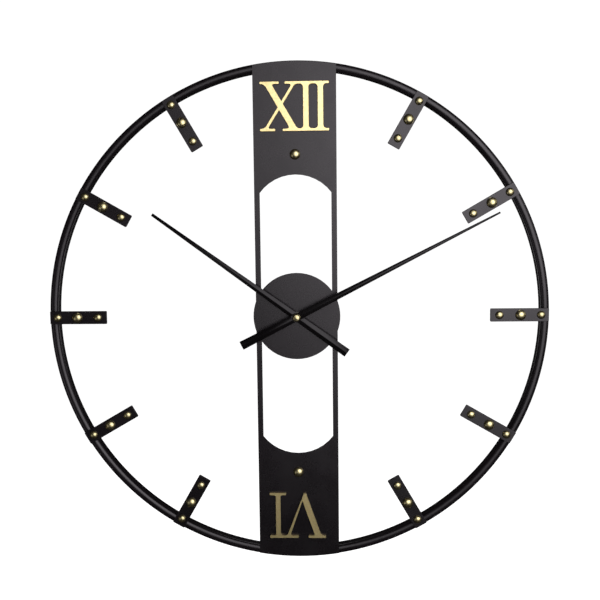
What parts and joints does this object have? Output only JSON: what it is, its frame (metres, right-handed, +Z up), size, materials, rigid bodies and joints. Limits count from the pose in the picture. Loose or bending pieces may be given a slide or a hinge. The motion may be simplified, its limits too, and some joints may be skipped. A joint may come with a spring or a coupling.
{
  "type": "wall clock",
  "caption": "Open-frame wall clock: ring with hour bars, raised numerals on a windowed plate, long tapered hands and a battery quartz movement.",
  "frame": {"origin": "on the hands' axis, in the plane of the wall", "axes": "+Y into the wall, -Y out of the dial towards the room, +Z up to twelve, +X to the right seen from the front"},
  "size_m": [0.6, 0.0382, 0.6],
  "materials": {
    "black_paint": "satin black paint on steel",
    "painted_aluminium": "satin black paint on thin aluminium",
    "brass": "polished brass",
    "gold_finish": "mirror gold, lightly warm",
    "steel": "plain steel",
    "rubber": "matt rubber",
    "black_plastic": "textured black plastic",
    "pale_plastic": "moulded acetal, off white",
    "copper": "enamelled copper wire",
    "circuit_green": "green solder mask",
    "battery_jacket": "plain dark printed sleeve"
  },
  "bodies": {
    "frame": {"ring": "black_paint", "face_plate": "black_paint", "hour_bar_1": "black_paint", "hour_bar_2": "black_paint", "hour_bar_3": "black_paint", "hour_bar_4": "black_paint", "hour_bar_5": "black_paint", "hour_bar_7": "black_paint", "hour_bar_8": "black_paint", "hour_bar_9": "black_paint", "hour_bar_10": "black_paint", "hour_bar_11": "black_paint", "outer_stud_1": "brass", "outer_stud_2": "brass", "outer_stud_3": "brass", "outer_stud_4": "brass", "outer_stud_5": "brass", "outer_stud_7": "brass", "outer_stud_8": "brass", "outer_stud_9": "brass", "outer_stud_10": "brass", "outer_stud_11": "brass", "middle_stud_1": "brass", "middle_stud_2": "brass", "middle_stud_3": "brass", "middle_stud_4": "brass", "middle_stud_5": "brass", "middle_stud_7": "brass", "middle_stud_8": "brass", "middle_stud_9": "brass", "middle_stud_10": "brass", "middle_stud_11": "brass", "plate_stud_upper": "brass", "plate_stud_lower": "brass", "numeral_xii": "gold_finish", "numeral_vi": "gold_finish", "hex_nut": "steel", "gasket": "rubber", "movement_case": "black_plastic", "rear_cover": "black_plastic", "contact_plus": "steel", "contact_minus": "steel", "stator": "steel", "motor_coil": "copper", "circuit_board": "circuit_green", "wall_hanger": "black_paint", "lower_bumper": "rubber"},
    "hands_minute": {"minute_arbor": "steel", "minute_hand": "painted_aluminium", "cap_nut": "brass"},
    "hands_hour": {"hour_wheel": "pale_plastic", "hour_hand": "painted_aluminium"},
    "motion": {"motion_wheel": "pale_plastic"},
    "knob": {"setting_knob": "black_plastic"},
    "centre": {"centre_wheel": "pale_plastic"},
    "third": {"third_wheel": "pale_plastic"},
    "fourth": {"fourth_wheel": "pale_plastic"},
    "fifth": {"fifth_wheel": "pale_plastic"},
    "motor_rotor": {"rotor": "steel"},
    "cell": {"battery": "battery_jacket"}
  },
  "joints": [
    {"name": "minute_spin", "type": "hinge", "parent": "frame", "child": "hands_minute", "pos_m": [0, -0.012, 0], "axis": [0, 1, 0], "continuous": true},
    {"name": "hour_spin", "type": "hinge", "parent": "frame", "child": "hands_hour", "pos_m": [0, -0.012, 0], "axis": [0, 1, 0], "continuous": true},
    {"name": "motion_spin", "type": "hinge", "parent": "frame", "child": "motion", "pos_m": [0.0096, -0.012, 0], "axis": [0, 1, 0], "continuous": true},
    {"name": "knob_spin", "type": "hinge", "parent": "frame", "child": "knob", "pos_m": [0.01791, -0.012, 0.0048], "axis": [0, 1, 0], "continuous": true},
    {"name": "fourth_spin", "type": "hinge", "parent": "frame", "child": "fourth", "pos_m": [-0.00604, -0.012, 0.01373], "axis": [0, 1, 0], "continuous": true},
    {"name": "third_spin", "type": "hinge", "parent": "frame", "child": "third", "pos_m": [-0.00842, -0.012, 0.00486], "axis": [0, 1, 0], "continuous": true},
    {"name": "centre_spin", "type": "hinge", "parent": "frame", "child": "centre", "pos_m": [0, -0.012, 0], "axis": [0, 1, 0], "continuous": true},
    {"name": "fifth_spin", "type": "hinge", "parent": "frame", "child": "fifth", "pos_m": [0.00152, -0.012, 0.01373], "axis": [0, 1, 0], "continuous": true},
    {"name": "rotor_spin", "type": "hinge", "parent": "frame", "child": "motor_rotor", "pos_m": [0.00778, -0.012, 0.0154], "axis": [0, 1, 0], "continuous": true},
    {"name": "battery_slide", "type": "slide", "parent": "frame", "child": "cell", "axis": [0, 1, 0], "range_m": [0, 0.025]}
  ],
  "couplings": [
    {"joint": "hour_spin", "follows": "minute_spin", "ratio": 0.083333},
    {"joint": "motion_spin", "follows": "minute_spin", "ratio": -0.33333},
    {"joint": "knob_spin", "follows": "minute_spin", "ratio": 1},
    {"joint": "third_spin", "follows": "fourth_spin", "ratio": -0.13333},
    {"joint": "centre_spin", "follows": "fourth_spin", "ratio": 0.016667},
    {"joint": "fifth_spin", "follows": "fourth_spin", "ratio": -6},
    {"joint": "rotor_spin", "follows": "fourth_spin", "ratio": 30}
  ]
}
